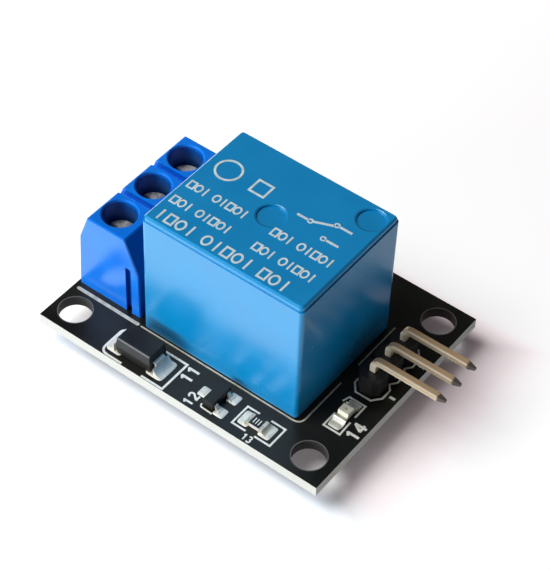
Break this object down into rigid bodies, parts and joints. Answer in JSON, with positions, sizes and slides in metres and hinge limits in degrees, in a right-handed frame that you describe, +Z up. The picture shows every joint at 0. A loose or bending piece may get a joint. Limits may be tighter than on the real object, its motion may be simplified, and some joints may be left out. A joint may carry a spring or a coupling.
{
  "type": "relay module board",
  "caption": "Small drilled circuit board with a sealed cube relay, a rising-clamp screw terminal block and a bent pin header over its edge.",
  "frame": {"origin": "centre of the four mounting holes, on the board's underside", "axes": "+X from the screw terminals to the header pins, +Y along the short side, +Z up through the board to the parts"},
  "size_m": [0.0396, 0.027, 0.0193],
  "materials": {
    "board_laminate": "glossy black solder mask over pale glass laminate",
    "relay_case": "satin moulded, mid blue",
    "relay_floor": "moulded black",
    "bobbin_plastic": "moulded, off-white",
    "soft_iron": "plated soft iron",
    "coil_wire": "enamelled copper wire",
    "leaf_copper": "rolled copper alloy",
    "contact_silver": "silver alloy",
    "tinned_copper": "tinned",
    "terminal_plastic": "moulded, strong blue",
    "cage_metal": "plated",
    "screw_metal": "zinc plated",
    "guard_metal": "plated spring steel",
    "header_plastic": "moulded black",
    "pin_gold": "flash gold plated",
    "mould_compound": "black moulding compound",
    "lead_metal": "tinned",
    "chip_ceramic": "white alumina",
    "resistor_glaze": "black glaze",
    "lamp_base": "pale laminate",
    "lamp_chip": "semiconductor chip",
    "lamp_lens": "pale clear resin",
    "cap_metal": "tinned",
    "solder": "bright solder",
    "print_ink": "white printing ink"
  },
  "bodies": {
    "board": {"board": "board_laminate", "relay_cover": "relay_case", "relay_base": "relay_floor", "relay_bobbin": "bobbin_plastic", "relay_yoke": "soft_iron", "relay_core": "soft_iron", "relay_coil": "coil_wire", "relay_make_contact": "contact_silver", "relay_break_contact": "contact_silver", "relay_make_strip": "tinned_copper", "relay_break_strip": "tinned_copper", "relay_common_pin": "tinned_copper", "relay_coil_pin_1": "tinned_copper", "relay_coil_pin_2": "tinned_copper", "terminal_housing": "terminal_plastic", "terminal_cage_1": "cage_metal", "terminal_cage_2": "cage_metal", "terminal_cage_3": "cage_metal", "header_base": "header_plastic", "header_pin_1": "pin_gold", "header_pin_2": "pin_gold", "header_pin_3": "pin_gold", "diode_body": "mould_compound", "transistor_body": "mould_compound", "diode_lead_1": "lead_metal", "diode_lead_2": "lead_metal", "transistor_lead_1": "lead_metal", "transistor_lead_2": "lead_metal", "transistor_lead_3": "lead_metal", "resistor_body": "chip_ceramic", "resistor_glaze": "resistor_glaze", "lamp_base": "lamp_base", "lamp_chip": "lamp_chip", "lamp_lens": "lamp_lens", "resistor_cap_1": "cap_metal", "resistor_cap_2": "cap_metal", "lamp_cap_1": "cap_metal", "lamp_cap_2": "cap_metal", "solder_relay": "solder", "solder_terminals": "solder", "solder_header": "solder", "solder_diode": "solder", "solder_transistor": "solder", "solder_resistor": "solder", "solder_lamp": "solder"},
    "armature": {"relay_armature": "soft_iron", "relay_spring": "leaf_copper", "relay_moving_contact": "contact_silver"},
    "screw_1": {"terminal_screw_1": "screw_metal"},
    "guard_1": {"terminal_guard_1": "guard_metal"},
    "screw_2": {"terminal_screw_2": "screw_metal"},
    "guard_2": {"terminal_guard_2": "guard_metal"},
    "screw_3": {"terminal_screw_3": "screw_metal"},
    "guard_3": {"terminal_guard_3": "guard_metal"}
  },
  "joints": [
    {"name": "armature_swing", "type": "hinge", "parent": "board", "child": "armature", "pos_m": [-0.00515, -0.00055, 0.01205], "axis": [0, 1, 0], "range_deg": [0, 3.2], "stiffness_Nm_per_rad": 0.01, "springref_deg": -6.88, "deforming": ["relay_spring"]},
    {"name": "guard_slide_1", "type": "slide", "parent": "board", "child": "guard_1", "axis": [0, 0, -1], "range_m": [0, 0.00169]},
    {"name": "screw_turn_1", "type": "hinge", "parent": "guard_1", "child": "screw_1", "pos_m": [-0.01333, -0.00508, 0.0078], "axis": [0, 0, -1], "range_deg": [0, 1350.1]},
    {"name": "guard_slide_2", "type": "slide", "parent": "board", "child": "guard_2", "axis": [0, 0, -1], "range_m": [0, 0.00169]},
    {"name": "screw_turn_2", "type": "hinge", "parent": "guard_2", "child": "screw_2", "pos_m": [-0.01333, 0, 0.0078], "axis": [0, 0, -1], "range_deg": [0, 1350.1]},
    {"name": "guard_slide_3", "type": "slide", "parent": "board", "child": "guard_3", "axis": [0, 0, -1], "range_m": [0, 0.00169]},
    {"name": "screw_turn_3", "type": "hinge", "parent": "guard_3", "child": "screw_3", "pos_m": [-0.01333, 0.00508, 0.0078], "axis": [0, 0, -1], "range_deg": [0, 1350.1]}
  ],
  "couplings": [
    {"joint": "screw_turn_1", "follows": "guard_slide_1", "rad_per_m": 13963},
    {"joint": "screw_turn_2", "follows": "guard_slide_2", "rad_per_m": 13963},
    {"joint": "screw_turn_3", "follows": "guard_slide_3", "rad_per_m": 13963}
  ]
}
